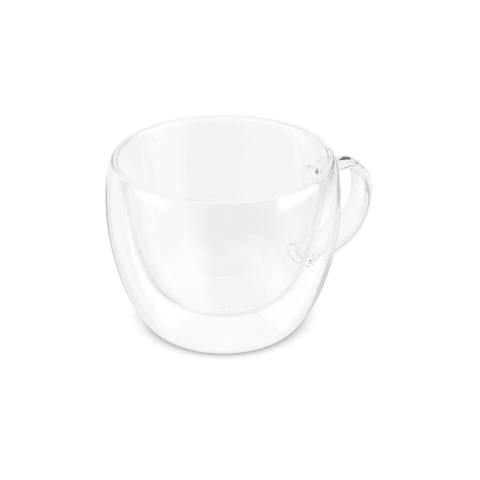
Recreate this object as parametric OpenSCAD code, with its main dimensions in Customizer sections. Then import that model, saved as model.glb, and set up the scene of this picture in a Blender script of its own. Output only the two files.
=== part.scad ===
// Double walled glass cup: two blown walls melted together at the lip, with an applied strap handle.
// The cup stands on Z = 0 with its axis on Z, and the handle points towards +X. Units are millimetres.

/* [Cup] */
// Height from the table to the top of the lip
cup_h = 75.4; // [68:0.2:90]
// Largest outside diameter
belly_d = 96.6; // [88:0.2:106]
// Height of the largest diameter
belly_h = 54; // [48:0.5:60]
// How far the wall is drawn in from the belly to the lip, on each side
lip_draw_in = 2.8; // [1:0.1:5]

/* [Outer shell] */
// Wall of the outer shell
shell_wall = 1.4; // [1:0.1:2]
// Outside diameter of the flat foot ring
foot_d = 60; // [50:0.5:64]
// Width of the flat foot ring
foot_ring_w = 6; // [4:0.5:9]
// Depth of the dished underside inside the foot ring
dish_depth = 2; // [1.6:0.1:2.6]
// Diameter of the vent hole in the middle of the base
vent_d = 5; // [3:0.5:8]

/* [Inner bowl] */
// Wall of the inner bowl
bowl_wall = 1.4; // [1:0.1:2]
// Height of the bowl's underside above the table
bowl_floor_h = 10.8; // [8:0.2:14]
// Air space between the two walls at the bowl's shoulder, measured level
air_gap = 7.8; // [5:0.2:11]
// Height of the bowl's shoulder, where the floor turns into the side
shoulder_h = 34.4; // [30:0.2:38]
// Lean of the bowl's side at the shoulder, from the vertical, in degrees
shoulder_lean = 17.5; // [12:0.5:24]

/* [Lip] */
// Height of the rounded bead that joins the walls
lip_h = 1.5; // [1:0.1:2]
// Gap between the two walls just under the bead
lip_gap = 0.2; // [0.1:0.05:0.5]

/* [Handle] */
// Width of the strap at its upper end
strap_top_w = 10; // [8:0.5:13]
// Width of the strap half way down
strap_mid_w = 14.5; // [11:0.5:18]
// Width of the strap at its lower end
strap_low_w = 15.5; // [11:0.5:19]
// Thickness of the strap
strap_t = 5; // [4:0.2:7]
// Height where the strap's middle line meets the outer wall at the top
root_top_h = 56; // [52:0.5:60]
// Height where the strap's middle line meets the outer wall at the bottom
root_low_h = 18.3; // [15:0.1:22]
// How far the upper pull of the ear lies outside the belly
pull_top_out = 29.8; // [24:0.2:36]
// Height of the upper pull of the ear
pull_top_h = 69.4; // [64:0.2:74]
// How far the lower pull of the ear lies outside the belly
pull_low_out = 33.8; // [26:0.2:40]
// Height of the lower pull of the ear
pull_low_h = 19.4; // [14:0.2:26]

/* [Welds] */
// How far each weld reaches out of the wall along the strap
weld_reach = 4; // [3:0.2:6]
// How much wider and thicker than the strap a weld is at the wall, on each side
weld_flare = 2; // [1:0.1:3]
// How far the closing nib of the vent stands out of the base, on each side
nib_bulge = 1; // [0.6:0.1:1.4]

/* [Hidden] */

// Steps along one curve of a wall, round the cup, along the strap and round the strap
wall_steps = 14;
round_steps = 128;
strap_steps = 56;
strap_sides = 32;
weld_steps = 8;
lip_steps = 16;

foot_r = foot_d / 2;
ring_in_r = foot_r - foot_ring_w;
belly_r = belly_d / 2;
lip_r = belly_r - lip_draw_in;
vent_r = vent_d / 2;
seam_h = cup_h - lip_h;
above_belly = seam_h - belly_h;

// How far the curves' pulls lie along the sizes that they follow
foot_pull_share = 0.27;
belly_low_pull_share = 0.57;
belly_top_pull_share = 0.5;
lip_pull_in_share = 0.64;
lip_pull_down_share = 0.23;
floor_pull_share = 0.69;
shoulder_low_pull_share = 0.92;
shoulder_top_pull_share = 0.33;
bowl_lip_pull_in_share = 0.23;
bowl_lip_pull_down_share = 0.14;

// A cubic curve through p[0] and p[3], its slope, and the same curve moved sideways by w
function curve(p, t) =
    pow(1 - t, 3) * p[0] + 3 * pow(1 - t, 2) * t * p[1] + 3 * (1 - t) * t * t * p[2] + pow(t, 3) * p[3];
function slope(p, t) =
    3 * pow(1 - t, 2) * (p[1] - p[0]) + 6 * (1 - t) * t * (p[2] - p[1]) + 3 * t * t * (p[3] - p[2]);
function unit(v) = v / norm(v);
function left_of(v) = [-v[1], v[0]];
function beside(p, t, w) = curve(p, t) + w * left_of(unit(slope(p, t)));
function trace(p, first, last, w) =
    [for (i = [first:last]) beside(p, i / wall_steps, w)];
// Width that a wall of thickness w takes on a level cut at the end of curve p
function level_width(p, w) = w * norm(slope(p, 1)) / slope(p, 1)[1];

// Outer wall, from the foot to the belly and from the belly to the lip
shell_low = [
    [foot_r, 0],
    [foot_r + foot_pull_share * (belly_r - foot_r), 0],
    [belly_r, belly_h * (1 - belly_low_pull_share)],
    [belly_r, belly_h]
];
shell_top = [
    [belly_r, belly_h],
    [belly_r, belly_h + belly_top_pull_share * above_belly],
    [lip_r + lip_pull_in_share * lip_draw_in, seam_h - lip_pull_down_share * above_belly],
    [lip_r, seam_h]
];
// Outside radius of the outer wall at height h, along one of its two curves
function radius_at(p, h) = [
    for (i = [1:wall_steps])
        let (a = curve(p, (i - 1) / wall_steps), b = curve(p, i / wall_steps))
        if (a[1] <= h && h < b[1]) a[0] + (b[0] - a[0]) * (h - a[1]) / (b[1] - a[1])
][0];
function wall_r(h) = radius_at(h < belly_h ? shell_low : shell_top, h);
// The dish under the base is a flat arc through its middle and the foot ring's inner edge
dish_r = (ring_in_r * ring_in_r + dish_depth * dish_depth) / (2 * dish_depth);
dish_angle = asin(ring_in_r / dish_r);
dish_centre_h = dish_depth - dish_r;
function dish_point(a, w) = [(dish_r + w) * sin(a), dish_centre_h + (dish_r + w) * cos(a)];
function dish(from, to, w) =
    [for (i = [0:wall_steps]) dish_point(from + (to - from) * i / wall_steps, w)];
shell_lip_w = level_width(shell_top, shell_wall);
// Point under the foot ring where the inside of the base meets the inside of the wall
ring_mid = [ring_in_r + foot_ring_w / 2, shell_wall];

// Bowl, from the middle of its floor to the shoulder and from the shoulder to the lip
lean = [sin(shoulder_lean), cos(shoulder_lean)];
bowl_lip_r = lip_r - shell_lip_w - lip_gap;
shoulder_r = wall_r(shoulder_h) - shell_wall - air_gap;
bowl_rise = shoulder_h - bowl_floor_h;
bowl_side = seam_h - shoulder_h;
bowl_low = [
    [0, bowl_floor_h],
    [floor_pull_share * shoulder_r, bowl_floor_h],
    [shoulder_r, shoulder_h] - shoulder_low_pull_share * bowl_rise * lean,
    [shoulder_r, shoulder_h]
];
bowl_top = [
    [shoulder_r, shoulder_h],
    [shoulder_r, shoulder_h] + shoulder_top_pull_share * bowl_side * lean,
    [
        bowl_lip_r - bowl_lip_pull_in_share * (bowl_lip_r - shoulder_r),
        seam_h - bowl_lip_pull_down_share * bowl_side
    ],
    [bowl_lip_r, seam_h]
];
bowl_lip_w = level_width(bowl_top, bowl_wall);
bowl_mouth_r = bowl_lip_r - bowl_lip_w;

// Outline of the outer wall's outside, closed along the axis
shell_outside = concat(
    [[0, 0]],
    trace(shell_low, 0, wall_steps, 0),
    trace(shell_top, 1, wall_steps, 0),
    [[0, seam_h]]
);
function reverse(list) = [for (i = [len(list) - 1:-1:0]) list[i]];
shell_inside = concat(
    [[lip_r - shell_lip_w, seam_h]],
    reverse(trace(shell_top, 1, wall_steps, shell_wall)),
    reverse(trace(shell_low, 0, wall_steps, shell_wall))
);
bowl_inside = concat(
    [[bowl_mouth_r, seam_h]],
    [for (p = reverse(trace(bowl_top, 1, wall_steps, bowl_wall))) if (p[1] < seam_h) p],
    reverse(trace(bowl_low, 0, wall_steps, bowl_wall))
);

module revolve(points) {
    rotate_extrude($fn = round_steps) polygon(points);
}

// The blown outer wall with its dished base, foot ring and vent hole
module outer_shell() {
    color("gainsboro", 0.4)
    revolve(concat(
        dish(asin(vent_r / dish_r), dish_angle, 0),
        trace(shell_low, 0, wall_steps, 0),
        trace(shell_top, 1, wall_steps, 0),
        shell_inside,
        [ring_mid],
        reverse(dish(asin(vent_r / (dish_r + shell_wall)), dish_angle, shell_wall))
    ));
}

// The blown bowl that holds the drink
module inner_bowl() {
    color("white", 0.4)
    revolve(concat(
        trace(bowl_low, 0, wall_steps, 0),
        trace(bowl_top, 1, wall_steps, 0),
        bowl_inside
    ));
}

// The rounded bead that closes the edges of both walls
module lip_seam() {
    half_w = (lip_r - bowl_mouth_r) / 2;
    mid_r = bowl_mouth_r + half_w;
    color("lightgray", 0.6)
    revolve([
        for (i = [0:lip_steps])
            let (a = 180 * i / lip_steps) [mid_r + half_w * cos(a), seam_h + lip_h * sin(a)]
    ]);
}

// Middle line of the strap, in X and Z, from the upper root to the lower root
ear = [
    [wall_r(root_top_h), root_top_h],
    [belly_r + pull_top_out, pull_top_h],
    [belly_r + pull_low_out, pull_low_h],
    [wall_r(root_low_h), root_low_h]
];
top_end = weld_reach / norm(slope(ear, 0));
low_end = 1 - weld_reach / norm(slope(ear, 1));
// Width of the strap at t, through its three given widths
function strap_w(t) =
    (1 - t) * (1 - 2 * t) * strap_top_w + 4 * t * (1 - t) * strap_mid_w + t * (2 * t - 1) * strap_low_w;

// One oval section across the ear at t, grown by g on every side, moved by m along the ear
function oval(t, g, m) =
    let (
        c = curve(ear, t),
        along = unit(slope(ear, t)),
        side = left_of(along),
        a = strap_t / 2 + g,
        b = strap_w(t) / 2 + g
    )
    [
        for (i = [0:strap_sides - 1])
            let (
                u = a * cos(360 * i / strap_sides),
                v = b * sin(360 * i / strap_sides)
            )
            [c[0] + m * along[0] + u * side[0], v, c[1] + m * along[1] + u * side[1]]
    ];

// A closed skin over a row of sections with equal numbers of points
module skin(rows) {
    n = len(rows[0]);
    last = len(rows) - 1;
    polyhedron(
        points = [for (row = rows) for (p = row) p],
        faces = concat(
            [[for (j = [0:n - 1]) j]],
            [
                for (i = [0:last - 1])
                    for (j = [0:n - 1])
                        for (f = [
                            [i * n + j, (i + 1) * n + j, (i + 1) * n + (j + 1) % n],
                            [i * n + j, (i + 1) * n + (j + 1) % n, i * n + (j + 1) % n]
                        ])
                            f
            ],
            [[for (j = [n - 1:-1:0]) last * n + j]]
        )
    );
}

// The pulled glass strap, bent into an ear
module handle() {
    color("silver", 0.7)
    skin([for (i = [0:strap_steps]) oval(top_end + (low_end - top_end) * i / strap_steps, 0, 0)]);
}

// A pad of melted glass between the wall and one end of the strap, flaring towards the wall
module weld(t_end, way) {
    depth = weld_reach + shell_wall;
    difference() {
        skin([
            for (i = [0:weld_steps])
                let (s = i / weld_steps, m = way * depth * s)
                oval(t_end, weld_flare * s * s, m)
        ]);
        revolve(shell_outside);
    }
}

module handle_upper_weld() {
    color("silver", 0.8)
    weld(top_end, -1);
}

module handle_lower_weld() {
    color("silver", 0.8)
    weld(low_end, 1);
}

// The nib that closes the vent, bulging a little above and below the base
module vent_seal() {
    color("silver", 0.8)
    revolve(concat(
        [
            for (i = [0:wall_steps])
                let (a = 90 * i / wall_steps) [vent_r * sin(a), dish_depth - nib_bulge * cos(a)]
        ],
        [
            for (i = [0:wall_steps])
                let (a = 90 * i / wall_steps)
                [vent_r * cos(a), dish_depth + shell_wall + nib_bulge * sin(a)]
        ]
    ));
}

outer_shell();
inner_bowl();
lip_seam();
handle();
handle_upper_weld();
handle_lower_weld();
vent_seal();
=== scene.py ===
import math

import bmesh
import bpy
import numpy as np
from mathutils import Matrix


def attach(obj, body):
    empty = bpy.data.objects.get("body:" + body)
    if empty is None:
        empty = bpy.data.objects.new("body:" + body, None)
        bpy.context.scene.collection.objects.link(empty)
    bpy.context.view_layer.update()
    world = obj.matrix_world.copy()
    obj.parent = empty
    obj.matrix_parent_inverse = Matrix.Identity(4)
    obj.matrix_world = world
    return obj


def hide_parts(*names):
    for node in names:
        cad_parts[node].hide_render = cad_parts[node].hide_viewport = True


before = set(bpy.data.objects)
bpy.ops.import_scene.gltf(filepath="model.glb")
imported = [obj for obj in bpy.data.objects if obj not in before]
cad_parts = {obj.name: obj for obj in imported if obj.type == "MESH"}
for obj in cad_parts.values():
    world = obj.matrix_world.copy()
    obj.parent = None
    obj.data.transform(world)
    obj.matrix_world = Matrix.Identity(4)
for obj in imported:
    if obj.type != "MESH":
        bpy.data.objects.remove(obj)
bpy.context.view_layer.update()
mm = 0.001
print("frame loaded:", sorted(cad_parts))


# Builds a node tree of any kind: an input that is a socket is wired, and any other value is set
class Tree:
    def __init__(self, tree):
        self.tree = tree

    def wire(self, value, socket):
        if isinstance(value, bpy.types.NodeSocket):
            self.tree.links.new(value, socket)
        elif value is not None:
            socket.default_value = value

    def add(self, kind, *inputs, **settings):
        node = self.tree.nodes.new(kind)
        for key, value in settings.items():
            setattr(node, key, value)
        for socket, value in zip(node.inputs, inputs):
            self.wire(value, socket)
        return node

    def maths(self, operation, *values):
        return self.add("ShaderNodeMath", *values, operation=operation).outputs[0]

    def vector(self, operation, *values):
        return self.add("ShaderNodeVectorMath", *values, operation=operation).outputs["Vector"]

    def number(self, operation, *values):
        return self.add("ShaderNodeVectorMath", *values, operation=operation).outputs["Value"]

    def scaled(self, vector, by):
        node = self.add("ShaderNodeVectorMath", vector, operation="SCALE")
        self.wire(by, node.inputs["Scale"])
        return node.outputs["Vector"]

    def product(self, *values):
        result = values[0]
        for value in values[1:]:
            result = self.maths("MULTIPLY", result, value)
        return result

    def ranged(self, value, fromLow, fromHigh, toLow, toHigh):
        bounds = fromLow, fromHigh, toLow, toHigh
        return self.add("ShaderNodeMapRange", value, *bounds, interpolation_type="SMOOTHSTEP").outputs[0]

    def blend(self, share, a, b):
        return self.add("ShaderNodeMix", share, None, a, b).outputs[0]


def clearedTree(owner):
    owner.use_nodes = True
    owner.node_tree.nodes.clear()
    return Tree(owner.node_tree)


# Materials
glass = {
    "ior": 1.47,
    "wallTint": (0.997, 0.997, 0.997),
    "solidTint": (0.995, 0.995, 0.995),
    "strapTint": (0.956, 0.956, 0.956),
    # Painted shade: glass seen edge on turns to a much darker tint, a painted dark outline that stands in
    # for dark reflections along the cup's outline. Given are where that starts, with 1 for fully edge on,
    # the tint that it ends with, and the heights between which it shows
    "wallPaintedOutline": {"start": 0.82, "tint": (0.035, 0.035, 0.035), "low": 12 * mm, "high": 66 * mm},
    "strapPaintedOutline": {"start": 0.4, "tint": (0.61, 0.61, 0.61), "low": -10 * mm, "high": 90 * mm},
    "paintedOutlineFade": 14 * mm,               # over how much height that comes and goes
    "lightThrough": 0.997,             # share of the room's light that one face lets down to the floor
    "lightThroughFoot": 0.1,           # the same down where the cup stands
    "footShade": 7 * mm,               # height at which the foot's darker share ends
    "waveSize": 16 * mm,               # blown and pulled glass is never quite even
    "waveDepth": 0.012 * mm,
}


# 1 between low and high and 0 outside, with soft steps
def between(tree, value, low, high, soft):
    above = tree.ranged(value, low - soft / 2, low + soft / 2, 0, 1)
    below = tree.ranged(value, high - soft / 2, high + soft / 2, 1, 0)
    return tree.product(above, below)


def clearGlass(tree, tint, normal):
    clear = tree.add("ShaderNodeBsdfPrincipled")
    clear.inputs["Base Color"].default_value = (*tint, 1)
    clear.inputs["Roughness"].default_value = 0
    clear.inputs["IOR"].default_value = glass["ior"]
    clear.inputs["Transmission Weight"].default_value = 1
    tree.wire(normal, clear.inputs["Normal"])
    return clear.outputs[0]


# The normal of a surface with faint waves
def waved(tree, place):
    waves = tree.add("ShaderNodeTexNoise", place)
    waves.inputs["Scale"].default_value = 1 / glass["waveSize"]
    waves.inputs["Detail"].default_value = 1
    bump = tree.add("ShaderNodeBump")
    bump.inputs["Strength"].default_value = 1
    bump.inputs["Distance"].default_value = glass["waveDepth"]
    tree.wire(waves.outputs["Fac"], bump.inputs["Height"])
    return bump.outputs["Normal"]


def glassMaterial(name, tint, edge=None):
    material = bpy.data.materials.new(name)
    tree = clearedTree(material)
    place = tree.add("ShaderNodeTexCoord").outputs["Object"]
    height = tree.number("DOT_PRODUCT", place, (0, 0, 1))
    normal = waved(tree, place)
    clear = clearGlass(tree, tint, normal)
    # Painted dark outline: where the glass is seen edge on, between the given heights, it is mixed
    # towards a much darker glass
    if edge:
        facing = tree.add("ShaderNodeLayerWeight").outputs["Facing"]
        heights = between(tree, height, edge["low"], edge["high"], glass["paintedOutlineFade"])
        paintedOutlineShare = tree.product(tree.ranged(facing, edge["start"], 1, 0, 1), heights)
        paintedDarkGlass = clearGlass(tree, edge["tint"], normal)
        clear = tree.add("ShaderNodeMixShader", paintedOutlineShare, clear, paintedDarkGlass).outputs[0]
    # For the light on the floor, glass is a thin film that doesn't bend it
    film = tree.add("ShaderNodeBsdfTransparent")
    share = tree.ranged(height, 0, glass["footShade"], glass["lightThroughFoot"], glass["lightThrough"])
    tree.wire(share, film.inputs["Color"])
    path = tree.add("ShaderNodeLightPath").outputs
    toFloor = tree.maths("MAXIMUM", path["Is Shadow Ray"], path["Is Diffuse Ray"])
    mix = tree.add("ShaderNodeMixShader", toFloor, clear, film.outputs[0])
    tree.add("ShaderNodeOutputMaterial", mix.outputs[0])
    return material


# Where two pieces are melted into one, light crosses as if there were no faces
def jointMaterial():
    material = bpy.data.materials.new("meltedJoint")
    tree = clearedTree(material)
    tree.add("ShaderNodeOutputMaterial", tree.add("ShaderNodeBsdfTransparent").outputs[0])
    return material


outerGlass = glassMaterial("outerGlass", glass["wallTint"], glass["wallPaintedOutline"])
innerGlass = glassMaterial("innerGlass", glass["wallTint"])
solidGlass = glassMaterial("solidGlass", glass["solidTint"])
strapGlass = glassMaterial("strapGlass", glass["strapTint"], glass["strapPaintedOutline"])
meltedJoint = jointMaterial()
print("glass mixed")

# Cup
cup = {
    "height": 75.4 * mm,
    "bellyRadius": 48.3 * mm,
    "bellyHeight": 54 * mm,
    "lipDrawIn": 2.8 * mm,
    "lipHeight": 1.5 * mm,
    "lipGap": 0.2 * mm,
    "shellWall": 1.4 * mm,
    "bowlWall": 1.4 * mm,
    "footRadius": 30 * mm,
    "footRingWidth": 6 * mm,
    "dishDepth": 2 * mm,
    "ventRadius": 2.5 * mm,
    "nibBulge": 1 * mm,
    "bowlFloorHeight": 10.8 * mm,
    "airGap": 7.8 * mm,
    "shoulderHeight": 34.4 * mm,
    "shoulderLean": math.radians(17.5),
    "curveSteps": 48,                  # points along one curve of a wall
    "turns": 256,                      # columns round the axis
}
# How far the pulls of the curves lie along the sizes that they follow
pullShares = {
    "foot": 0.27,
    "bellyLow": 0.57,
    "bellyTop": 0.5,
    "lipIn": 0.64,
    "lipDown": 0.23,
    "bowlFloor": 0.69,
    "shoulderLow": 0.92,
    "shoulderTop": 0.33,
    "bowlLipIn": 0.23,
    "bowlLipDown": 0.14,
    "bead": 1.4,                       # of the bead's height
}


def curvePoint(p, t):
    a, b, c, d = np.array(p, float)
    return (1 - t) ** 3 * a + 3 * (1 - t) ** 2 * t * b + 3 * (1 - t) * t ** 2 * c + t ** 3 * d


def curveSlope(p, t):
    a, b, c, d = np.array(p, float)
    return 3 * (1 - t) ** 2 * (b - a) + 6 * (1 - t) * t * (c - b) + 3 * t ** 2 * (d - c)


def unit(v):
    return np.array(v) / np.linalg.norm(v)


# Points along curve p, moved sideways by w
def trace(p, w, first=0):
    points = []
    for t in np.arange(first, cup["curveSteps"] + 1) / cup["curveSteps"]:
        x, z = unit(curveSlope(p, t))
        points.append(curvePoint(p, t) + w * np.array((-z, x)))
    return points


# Width that a wall of thickness w takes on a level cut at the end of curve p
def levelWidth(p, w):
    return w / unit(curveSlope(p, 1))[1]


seamHeight = cup["height"] - cup["lipHeight"]
lipRadius = cup["bellyRadius"] - cup["lipDrawIn"]
aboveBelly = seamHeight - cup["bellyHeight"]
shellLow = [
    (cup["footRadius"], 0),
    (cup["footRadius"] + pullShares["foot"] * (cup["bellyRadius"] - cup["footRadius"]), 0),
    (cup["bellyRadius"], (1 - pullShares["bellyLow"]) * cup["bellyHeight"]),
    (cup["bellyRadius"], cup["bellyHeight"]),
]
shellTop = [
    (cup["bellyRadius"], cup["bellyHeight"]),
    (cup["bellyRadius"], cup["bellyHeight"] + pullShares["bellyTop"] * aboveBelly),
    (lipRadius + pullShares["lipIn"] * cup["lipDrawIn"], seamHeight - pullShares["lipDown"] * aboveBelly),
    (lipRadius, seamHeight),
]


def wallRadius(height):
    line = np.array(trace(shellLow if height < cup["bellyHeight"] else shellTop, 0))
    return float(np.interp(height, line[:, 1], line[:, 0]))


# Radii at the seam: inside of the shell, outside of the bowl and, further down, inside of the bowl
shellLipRadius = lipRadius - levelWidth(shellTop, cup["shellWall"])
bowlLipRadius = shellLipRadius - cup["lipGap"]
lean = np.array((math.sin(cup["shoulderLean"]), math.cos(cup["shoulderLean"])))
shoulder = np.array((
    wallRadius(cup["shoulderHeight"]) - cup["shellWall"] - cup["airGap"],
    cup["shoulderHeight"],
))
bowlSide = seamHeight - cup["shoulderHeight"]
bowlLow = [
    (0, cup["bowlFloorHeight"]),
    (pullShares["bowlFloor"] * shoulder[0], cup["bowlFloorHeight"]),
    shoulder - pullShares["shoulderLow"] * (cup["shoulderHeight"] - cup["bowlFloorHeight"]) * lean,
    shoulder,
]
bowlTop = [
    shoulder,
    shoulder + pullShares["shoulderTop"] * bowlSide * lean,
    (
        bowlLipRadius - pullShares["bowlLipIn"] * (bowlLipRadius - shoulder[0]),
        seamHeight - pullShares["bowlLipDown"] * bowlSide,
    ),
    (bowlLipRadius, seamHeight),
]
mouthRadius = bowlLipRadius - levelWidth(bowlTop, cup["bowlWall"])


# The dish under the base is a flat arc through its middle and the foot ring's inner edge; its face
# inside the air space lies w above it
def dish(w):
    ringIn = cup["footRadius"] - cup["footRingWidth"]
    r = (ringIn ** 2 + cup["dishDepth"] ** 2) / (2 * cup["dishDepth"])
    centre = cup["dishDepth"] - r
    first, last = math.asin(cup["ventRadius"] / (r + w)), math.asin(ringIn / r)
    angles = np.linspace(first, last, cup["curveSteps"] + 1)
    return [np.array(((r + w) * math.sin(a), centre + (r + w) * math.cos(a))) for a in angles]


dishUnder, dishOver = dish(0), dish(cup["shellWall"])
shellOutline = (
    dishUnder
    + trace(shellLow, 0)
    + trace(shellTop, 0, 1)
    + [(shellLipRadius, seamHeight)]
    + trace(shellTop, cup["shellWall"], 1)[::-1]
    + trace(shellLow, cup["shellWall"])[::-1]
    + dishOver[::-1]
    + dishUnder[:1]
)
bowlOutline = (
    trace(bowlLow, 0)
    + trace(bowlTop, 0, 1)
    + [(mouthRadius, seamHeight)]
    + [q for q in trace(bowlTop, cup["bowlWall"], 1)[::-1] if q[1] < seamHeight]
    + trace(bowlLow, cup["bowlWall"])[::-1]
)
# The bead runs on along the slopes of both walls and closes over them, as high as the lip
beadPull = pullShares["bead"] * cup["lipHeight"]
bead = [
    (lipRadius, seamHeight),
    np.array((lipRadius, seamHeight)) + beadPull * unit(curveSlope(shellTop, 1)),
    np.array((mouthRadius, seamHeight)) + beadPull * unit(curveSlope(bowlTop, 1)),
    (mouthRadius, seamHeight),
]
beadArch = trace(bead, 0)
archHeight = max(q[1] for q in beadArch) - seamHeight
beadOutline = [(q[0], seamHeight + (q[1] - seamHeight) * cup["lipHeight"] / archHeight) for q in beadArch]
beadOutline += [(bowlLipRadius, seamHeight), (shellLipRadius, seamHeight), (lipRadius, seamHeight)]


# The nib bulges on both sides of the base
def bulge(edge, way):
    angles = np.linspace(0, math.radians(90), cup["curveSteps"] // 2 + 1)
    return [(edge[0] * math.cos(a), edge[1] + way * cup["nibBulge"] * math.sin(a)) for a in angles]


nibOutline = bulge(dishUnder[0], -1)[::-1] + bulge(dishOver[0], 1)

# Distances within which points are merged and faces are picked
within = {
    "grown": 0.001 * mm,               # points of a mesh that nodes have just made
    "tidied": 0.0005 * mm,             # points of a finished mesh
    "seam": 0.01 * mm,                 # a face's middle, from the seam or from the vent's wall
    "station": 0.001 * mm,             # a face's middle, from the plane that ends the strap
}
sharpFrom = math.radians(50)
fullTurn = 2 * math.pi


def newGroup(name, **inputs):
    group = bpy.data.node_groups.new(name, "GeometryNodeTree")
    sockets = {}
    for title, kind in inputs.items():
        made = group.interface.new_socket(title, in_out="INPUT", socket_type="NodeSocket" + kind)
        sockets[title] = made.identifier
    group.interface.new_socket("mesh", in_out="OUTPUT", socket_type="NodeSocketGeometry")
    tree = Tree(group)
    return tree, tree.add("NodeGroupInput").outputs, sockets


# A grid of rows by columns, with the row and the column that each of its points belongs to
def gridOf(tree, rows, columns):
    grid = tree.add("GeometryNodeMeshGrid", None, None, columns, rows)
    index = tree.add("GeometryNodeInputIndex").outputs[0]
    column = tree.maths("FLOOR", tree.maths("DIVIDE", index, rows))
    row = tree.maths("SUBTRACT", index, tree.maths("MULTIPLY", column, rows))
    return grid.outputs["Mesh"], row, column


def finishGroup(tree, grid, place, finish):
    moved = tree.add("GeometryNodeSetPosition", grid)
    tree.wire(place, moved.inputs["Position"])
    merged = tree.add("GeometryNodeMergeByDistance", moved.outputs[0])
    merged.inputs["Distance"].default_value = within["grown"]
    smooth = tree.add("GeometryNodeSetShadeSmooth", merged.outputs[0])
    real = tree.add("GeometryNodeRealizeInstances", smooth.outputs[0])
    coat = tree.add("GeometryNodeSetMaterial", real.outputs[0])
    tree.wire(finish, coat.inputs["Material"])
    tree.add("NodeGroupOutput", coat.outputs[0])


# Turns the outline that it is put on round the Z axis
def revolveGroup():
    tree, given, sockets = newGroup("revolveOutline", outline="Geometry", turns="Int", finish="Material")
    rows = tree.add("GeometryNodeAttributeDomainSize", given["outline"]).outputs["Point Count"]
    grid, row, column = gridOf(tree, rows, tree.maths("ADD", given["turns"], 1))
    point = tree.add("GeometryNodeSampleIndex", data_type="FLOAT_VECTOR", domain="POINT")
    tree.wire(given["outline"], point.inputs["Geometry"])
    tree.wire(tree.add("GeometryNodeInputPosition").outputs[0], point.inputs["Value"])
    tree.wire(row, point.inputs["Index"])
    spun = tree.add("ShaderNodeVectorRotate", point.outputs["Value"], rotation_type="Z_AXIS")
    angle = tree.product(tree.maths("DIVIDE", column, given["turns"]), fullTurn)
    tree.wire(angle, spun.inputs["Angle"])
    finishGroup(tree, grid, spun.outputs[0], given["finish"])
    return tree.tree, sockets


# Sweeps an oval along a cubic curve in the XZ plane, from one share of it to another; the two
# end rows close to a point, and the oval flares in a quarter circle where it nears either root
def earGroup():
    tree, given, sockets = newGroup(
        "earSweep", topRoot="Vector", topPull="Vector", lowPull="Vector", lowRoot="Vector",
        topWidth="Float", middleWidth="Float", lowWidth="Float", thickness="Float",
        weldReach="Float", weldFlare="Float", fromShare="Float", toShare="Float",
        stations="Int", sides="Int", finish="Material",
    )
    product, maths = tree.product, tree.maths
    grid, row, column = gridOf(tree, maths("ADD", given["stations"], 2), maths("ADD", given["sides"], 1))
    last = maths("SUBTRACT", given["stations"], 1)
    station = maths("MINIMUM", maths("MAXIMUM", maths("SUBTRACT", row, 1), 0), last)
    span = maths("SUBTRACT", given["toShare"], given["fromShare"])
    t = maths("ADD", given["fromShare"], product(maths("DIVIDE", station, last), span))
    s = maths("SUBTRACT", 1, t)
    roots = given["topRoot"], given["topPull"], given["lowPull"], given["lowRoot"]

    def summed(vectors, weights):
        parts = [tree.scaled(v, w) for v, w in zip(vectors, weights)]
        result = parts[0]
        for part in parts[1:]:
            result = tree.vector("ADD", result, part)
        return result

    centre = summed(roots, (product(s, s, s), product(3, s, s, t), product(3, s, t, t), product(t, t, t)))
    steps = [tree.vector("SUBTRACT", b, a) for a, b in zip(roots, roots[1:])]
    along = tree.vector("NORMALIZE", summed(steps, (product(s, s), product(2, s, t), product(t, t))))
    outward = tree.vector("CROSS_PRODUCT", along, (0, -1, 0))

    # The strap's width follows a parabola through its three widths, at shares 0, 1/2 and 1
    twice = maths("MULTIPLY", t, 2)
    width = maths(
        "ADD",
        maths(
            "ADD",
            product(given["topWidth"], s, maths("SUBTRACT", 1, twice)),
            product(given["middleWidth"], 4, s, t),
        ),
        product(given["lowWidth"], t, maths("SUBTRACT", twice, 1)),
    )

    # Outside the shares from 0 to 1 the sweep is behind the wall, where the flare stays at its widest
    toTop = product(tree.number("DISTANCE", centre, given["topRoot"]), maths("GREATER_THAN", t, 0))
    toLow = product(tree.number("DISTANCE", centre, given["lowRoot"]), maths("LESS_THAN", t, 1))
    closeness = maths("SUBTRACT", 1, maths("DIVIDE", maths("MINIMUM", toTop, toLow), given["weldReach"]))
    closeness = maths("MINIMUM", maths("MAXIMUM", closeness, 0), 1)
    fall = maths("SUBTRACT", 1, maths("SQRT", maths("SUBTRACT", 1, product(closeness, closeness))))
    flare = product(given["weldFlare"], fall)

    # The first and the last row close the ends, and half a step tells them from their neighbours
    isOpen = product(maths("GREATER_THAN", row, 0.5), maths("LESS_THAN", row, maths("ADD", last, 1.5)))
    angle = product(maths("DIVIDE", column, given["sides"]), fullTurn)
    halfThick = maths("ADD", product(given["thickness"], 0.5), flare)
    halfWide = maths("ADD", product(width, 0.5), flare)
    outBy = product(halfThick, maths("COSINE", angle), isOpen)
    acrossBy = product(halfWide, maths("SINE", angle), isOpen)
    oval = tree.vector("ADD", tree.scaled(outward, outBy), tree.scaled((0, 1, 0), acrossBy))
    finishGroup(tree, grid, tree.vector("ADD", centre, oval), given["finish"])
    return tree.tree, sockets


# The same mesh, closed, smooth and with its faces turned outwards
def tidied(mesh):
    bm = bmesh.new()
    bm.from_mesh(mesh)
    bmesh.ops.remove_doubles(bm, verts=bm.verts, dist=within["tidied"])
    bmesh.ops.dissolve_degenerate(bm, dist=within["tidied"], edges=bm.edges)
    bmesh.ops.recalc_face_normals(bm, faces=bm.faces)
    bm.to_mesh(mesh)
    bm.free()
    mesh.shade_smooth()
    mesh.set_sharp_from_angle(angle=sharpFrom)
    return mesh


def newPiece(name, mesh):
    mesh.name = name
    piece = bpy.data.objects.new(name, mesh)
    bpy.context.collection.objects.link(piece)
    return piece


# The mesh that an object has with its modifiers applied
def evaluated(source):
    mesh = bpy.data.meshes.new_from_object(source.evaluated_get(bpy.context.evaluated_depsgraph_get()))
    source.modifiers.clear()
    return mesh


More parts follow.
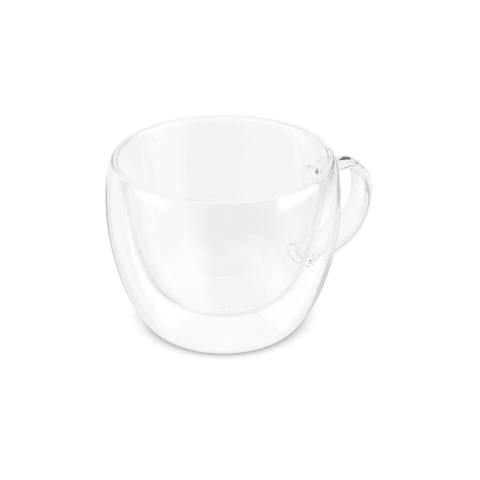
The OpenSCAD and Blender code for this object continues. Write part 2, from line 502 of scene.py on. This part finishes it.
# A piece that a node group makes from a base mesh and these values
def grown(name, group, base, values):
    tree, sockets = group
    source = newPiece(name + "Source", base)
    modifier = source.modifiers.new("grow", "NODES")
    modifier.node_group = tree
    for title, value in values.items():
        modifier[sockets[title]] = value
    mesh = evaluated(source)
    bpy.data.objects.remove(source)
    mesh.materials.clear()
    mesh.materials.append(values["finish"])
    return newPiece(name, tidied(mesh))


revolve, earSweep = revolveGroup(), earGroup()


def turned(name, outline, material):
    base = bpy.data.meshes.new(name + "Outline")
    base.from_pydata([(r, 0, z) for r, z in outline], [(i, i + 1) for i in range(len(outline) - 1)], [])
    return grown(name, revolve, base, {"turns": cup["turns"], "finish": material})


# Marks the faces that test picks as melted into a neighbour
def melt(piece, test):
    mesh = piece.data
    if meltedJoint.name not in mesh.materials:
        mesh.materials.append(meltedJoint)
    slot = mesh.materials.find(meltedJoint.name)
    for face in mesh.polygons:
        if test(face):
            face.material_index = slot


def cut(piece, operation, other):
    modifier = piece.modifiers.new("cut", "BOOLEAN")
    modifier.operation, modifier.solver, modifier.object = operation, "MANIFOLD", other
    modifier.material_mode = "TRANSFER"
    return evaluated(piece)


def atSeam(low, high):
    def test(face):
        level = abs(face.center.z - seamHeight) < within["seam"]
        return level and low < math.hypot(*face.center.xy) < high

    return test


def atVent(face):
    onWall = abs(math.hypot(*face.center.xy) - cup["ventRadius"]) < within["seam"]
    return onWall and dishUnder[0][1] < face.center.z < dishOver[0][1]


outerWall = turned("outerWall", shellOutline, outerGlass)
innerWall = turned("innerWall", bowlOutline, innerGlass)
lipBead = turned("lipBead", beadOutline, solidGlass)
ventNib = turned("ventNib", nibOutline, solidGlass)
shellSeam, bowlSeam = atSeam(shellLipRadius, lipRadius), atSeam(mouthRadius, bowlLipRadius)
for piece, test in (
    (outerWall, shellSeam),
    (outerWall, atVent),
    (ventNib, atVent),
    (innerWall, bowlSeam),
    (lipBead, shellSeam),
    (lipBead, bowlSeam),
):
    melt(piece, test)
print("walls, lip and nib turned")

# Handle
ear = {
    "topWidth": 10 * mm,
    "middleWidth": 14.5 * mm,
    "lowWidth": 15.5 * mm,
    "thickness": 5 * mm,
    "topRoot": 56 * mm,
    "lowRoot": 18.3 * mm,
    "topPull": (29.8 * mm, 69.4 * mm),     # out from the belly, and height
    "lowPull": (33.8 * mm, 19.4 * mm),
    "weldReach": 4 * mm,
    "weldFlare": 1.9 * mm,
    "weldSunk": 0.7 * mm,                  # how deep a weld is melted into the wall
    "behindWall": 2.4 * mm,                # how far its sweep starts behind the wall's face
    "strapStations": 160,
    "weldStations": 40,
    "sides": 72,
}
earPoints = [
    (wallRadius(ear["topRoot"]), ear["topRoot"]),
    (cup["bellyRadius"] + ear["topPull"][0], ear["topPull"][1]),
    (cup["bellyRadius"] + ear["lowPull"][0], ear["lowPull"][1]),
    (wallRadius(ear["lowRoot"]), ear["lowRoot"]),
]
topSlope, lowSlope = (np.linalg.norm(curveSlope(earPoints, t)) for t in (0, 1))
# Shares of the curve between which the strap runs; both welds go on from there into the wall
topEnd, lowEnd = ear["weldReach"] / topSlope, 1 - ear["weldReach"] / lowSlope
topStart, lowStop = -ear["behindWall"] / topSlope, 1 + ear["behindWall"] / lowSlope


def swept(name, fromShare, toShare, stations, finish):
    sizes = "topWidth", "middleWidth", "lowWidth", "thickness", "weldReach", "weldFlare", "sides"
    values = {size: ear[size] for size in sizes}
    for title, (x, z) in zip(("topRoot", "topPull", "lowPull", "lowRoot"), earPoints):
        values[title] = (x, 0, z)
    values |= {"fromShare": fromShare, "toShare": toShare, "stations": stations, "finish": finish}
    return grown(name, earSweep, bpy.data.meshes.new("earBase"), values)


# The faces that close the strap's ends lie in one plane across the curve
def atStation(share):
    centre, along = curvePoint(earPoints, share), unit(curveSlope(earPoints, share))

    def test(face):
        middle = np.array((face.center.x, face.center.z))
        return abs(along @ (middle - centre)) < within["station"]

    return test


# The faces of a cut mesh that have this material, or the others, as one bmesh
def facesWith(mesh, material, keep=True):
    bm = bmesh.new()
    bm.from_mesh(mesh)
    slot = mesh.materials.find(material.name)
    unwanted = [face for face in bm.faces if (face.material_index == slot) != keep]
    bmesh.ops.delete(bm, geom=unwanted, context="FACES")
    return bm


# Melts a weld into the outer wall: both keep the patch where they meet, marked as melted
def weldOnto(weld, core):
    weld.data = cut(weld, "DIFFERENCE", core)
    cutMark = bpy.data.materials.new("cutMark")
    plug = newPiece("plug", weld.data.copy())
    plug.data.materials.clear()
    plug.data.materials.append(cutMark)
    pocketed, patch = cut(outerWall, "DIFFERENCE", plug), cut(outerWall, "INTERSECT", plug)
    bpy.data.objects.remove(plug)
    weld.data = cut(weld, "DIFFERENCE", outerWall)
    melt(weld, lambda face: weld.data.materials[face.material_index] == outerGlass)
    tidied(weld.data)

    # The wall's own face is put back over the pocket that the cut left
    patchFaces = facesWith(patch, outerGlass)
    for face in patchFaces.faces:
        face.material_index = pocketed.materials.find(meltedJoint.name)
    patchFaces.to_mesh(patch)
    wallFaces = facesWith(pocketed, cutMark, keep=False)
    wallFaces.from_mesh(patch)
    wallFaces.to_mesh(pocketed)
    for bm in (patchFaces, wallFaces):
        bm.free()
    pocketed.materials.pop(index=pocketed.materials.find(cutMark.name))
    bpy.data.materials.remove(cutMark)
    outerWall.data = tidied(pocketed)


strap = swept("strap", topEnd, lowEnd, ear["strapStations"], strapGlass)
upperWeld = swept("upperWeld", topStart, topEnd, ear["weldStations"], solidGlass)
lowerWeld = swept("lowerWeld", lowEnd, lowStop, ear["weldStations"], solidGlass)
for piece, share in ((strap, topEnd), (strap, lowEnd), (upperWeld, topEnd), (lowerWeld, lowEnd)):
    melt(piece, atStation(share))
sunkWall = trace(shellLow, ear["weldSunk"]) + trace(shellTop, ear["weldSunk"], 1)
core = turned("core", [(0, 0), *sunkWall, (0, seamHeight)], solidGlass)
weldOnto(upperWeld, core)
weldOnto(lowerWeld, core)
bpy.data.objects.remove(core)
print("strap swept and welded on")

for piece, slot, node in (
    (outerWall, "outer_wall_glass", "outer_shell"),
    (innerWall, "inner_wall_glass", "inner_bowl"),
    (lipBead, "fused_glass", "lip_seam"),
    (ventNib, "fused_glass", "vent_seal"),
    (strap, "strap_glass", "handle"),
    (upperWeld, "fused_glass", "handle_upper_weld"),
    (lowerWeld, "fused_glass", "handle_lower_weld"),
):
    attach(piece, "root")
    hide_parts(node)

# Room: rays straight through the glass meet an even light, and rays that the glass reflects meet a
# plain studio with a dim side behind the camera, bright windows beside it and dark corners. What each
# wall reflects is set apart, told by how many faces of glass the ray has crossed
room = {
    "straight": 0.98,
    "lean": 2,                         # how strongly the floor's light comes from the camera's side
    "leanLight": 0.8,                  # keeps the open floor as bright as without that
    "cameraSide": math.radians(-122),
    # Faces of glass that a ray has crossed, at most, when it meets each of these; the inner wall is past
    # the last
    "crossed": {"onFirstFace": 0, "atOutline": 2, "onOuterGlass": 4},
    # Areas, each over those before it: angle from the camera's side, left of it above 0, from and to,
    # then height from and to, all in degrees, as is the soft edge, and last the share of white
    "onOuterGlass": (
        (-200, 200, -90, 90, 1, 0.9),
        (-54, 18, -90, 90, 8, 0.95),
        (18, 106, -60, 90, 8, 1.45),
        (-88, -54, -60, 90, 14, 1.35),
        (-125, -88, -60, -20, 8, 1.2),
        (55, 95, 0, 22, 8, 2.4),
        (-105, -55, 0, 24, 8, 3.2),
        (-138, -108, -16, 20, 8, 0.45),
        (-151, -126, 8, 50, 3, 0.0),
    ),
    "onInnerGlass": (
        (-200, 200, -90, 90, 1, 0.8),
        (-145, -88, -60, 20, 10, 0.5),
        (-88, -43, -60, 20, 7, 0.5),
        (-43, 36, -60, 90, 7, 0.0),
        (36, 88, -60, 20, 7, 0.0),
        (88, 145, -60, 20, 10, 0.25),
    ),
    "atOutline": (
        (153, 200, -33, -28, 3, 0.7),
        (153, 200, -28, -22, 3, 0.55),
        (-200, -153, -39, -30, 3, 0.65),
        (-155, -144, -38, -32, 3, 0.6),
        (-151, -126, -12, 50, 3, 0.0),
    ),
    "onFirstFace": (
        (-170, -146, -24.5, -18, 1.5, 0.0),
    ),
    "afterMore": (
        (-200, 200, -90, 90, 1, 0.92),
        (-170, -126, -12, 8, 3, 0.0),
        (-156, -125, -46, -31, 3, 0.6),
    ),
}


# Counts along a ray are whole numbers, so half a step tells one from the next
def atMost(tree, count, most):
    return tree.maths("LESS_THAN", count, most + 0.5)


def roomLight(tree, direction):
    side = room["cameraSide"]
    along = tree.number("DOT_PRODUCT", direction, (math.cos(side), math.sin(side), 0))
    beside = tree.number("DOT_PRODUCT", direction, (math.sin(side), -math.cos(side), 0))
    upward = tree.number("DOT_PRODUCT", direction, (0, 0, 1))
    angle = tree.maths("DEGREES", tree.maths("ARCTAN2", beside, along))
    height = tree.maths("DEGREES", tree.maths("ARCSINE", upward))

    path = tree.add("ShaderNodeLightPath").outputs
    once = tree.maths("COMPARE", path["Glossy Depth"], 1, 0.5)
    crossed = path["Transmission Depth"]
    faces = {kind: atMost(tree, crossed, most) for kind, most in room["crossed"].items()}
    seen = {
        "onOuterGlass": tree.product(once, faces["onOuterGlass"]),
        "onInnerGlass": tree.product(once, tree.maths("SUBTRACT", 1, faces["onOuterGlass"])),
        "atOutline": tree.product(once, faces["atOutline"]),
        "onFirstFace": tree.product(once, faces["onFirstFace"]),
        "afterMore": tree.maths("SUBTRACT", 1, atMost(tree, path["Glossy Depth"], 1)),
    }
    # A ray that has crossed no face and isn't reflected comes from the floor, where the room lights it
    leaning = tree.maths("POWER", tree.maths("ADD", 1, along), room["lean"])
    onFloor = tree.product(leaning, room["leanLight"])
    light = tree.blend(faces["onFirstFace"], room["straight"], onFloor)
    for kind, share in seen.items():
        for left, right, low, high, soft, white in room[kind]:
            across = between(tree, angle, left, right, soft)
            mask = tree.product(across, between(tree, height, low, high, soft), share)
            light = tree.blend(mask, light, white)
    return tree.blend(path["Is Camera Ray"], light, 1)


pureWhite = (1, 1, 1, 1)


def studioWorld():
    world = bpy.data.worlds.new("studio")
    tree = clearedTree(world)
    light = roomLight(tree, tree.add("ShaderNodeTexCoord").outputs["Generated"])
    tree.add("ShaderNodeOutputWorld", tree.add("ShaderNodeBackground", pureWhite, light).outputs[0])
    return world


bpy.context.scene.world = studioWorld()

# Floor: keeps the cup's shadow for the camera, and lets the glass see the room
floorLook = {
    "radius": 0.8,
    "drop": 0.02 * mm,                 # keeps the floor clear of the foot ring
    "sides": 96,
    "colour": 0.9,
    "glow": 0.16,                      # lifts the open floor to plain white
}


def floorMaterial():
    material = bpy.data.materials.new("paleFloor")
    tree = clearedTree(material)
    matt = tree.add("ShaderNodeBsdfDiffuse", (floorLook["colour"],) * 3 + (1,))
    glow = tree.add("ShaderNodeEmission", pureWhite, floorLook["glow"])
    seen = tree.add("ShaderNodeAddShader", matt.outputs[0], glow.outputs[0])
    clear = tree.add("ShaderNodeBsdfTransparent")
    toCamera = tree.add("ShaderNodeLightPath").outputs["Is Camera Ray"]
    mix = tree.add("ShaderNodeMixShader", toCamera, clear.outputs[0], seen.outputs[0])
    tree.add("ShaderNodeOutputMaterial", mix.outputs[0])
    return material


bpy.ops.mesh.primitive_circle_add(
    vertices=floorLook["sides"],
    radius=floorLook["radius"],
    fill_type="NGON",
    location=(0, 0, -floorLook["drop"]),
)
floor = bpy.context.object
floor.name = "floor"
floor.data.materials.append(floorMaterial())

view = {
    "azimuth": math.radians(-32),
    "pitch": math.radians(26.86),
    "lens": 105.1,
    "sensor": 36,
    "place": (6.87 * mm, -521.9 * mm, 301.0 * mm),     # before it turns round by the azimuth
    "bounces": 300,                                    # a ray crosses many faces of glass
}
camera = bpy.data.objects.new("camera", bpy.data.cameras.new("camera"))
bpy.context.collection.objects.link(camera)
camera.data.lens = view["lens"]
camera.data.sensor_width = view["sensor"]
x, y, z = view["place"]
c, s = math.cos(view["azimuth"]), math.sin(view["azimuth"])
camera.location = (x * c - y * s, x * s + y * c, z)
camera.rotation_euler = (math.radians(90) - view["pitch"], 0, view["azimuth"])
scene = bpy.context.scene
scene.camera = camera
scene.view_settings.view_transform = "Standard"
for kind in ("max_bounces", "transmission_bounces", "glossy_bounces", "transparent_max_bounces"):
    setattr(scene.cycles, kind, view["bounces"])
print("room, floor and camera set")
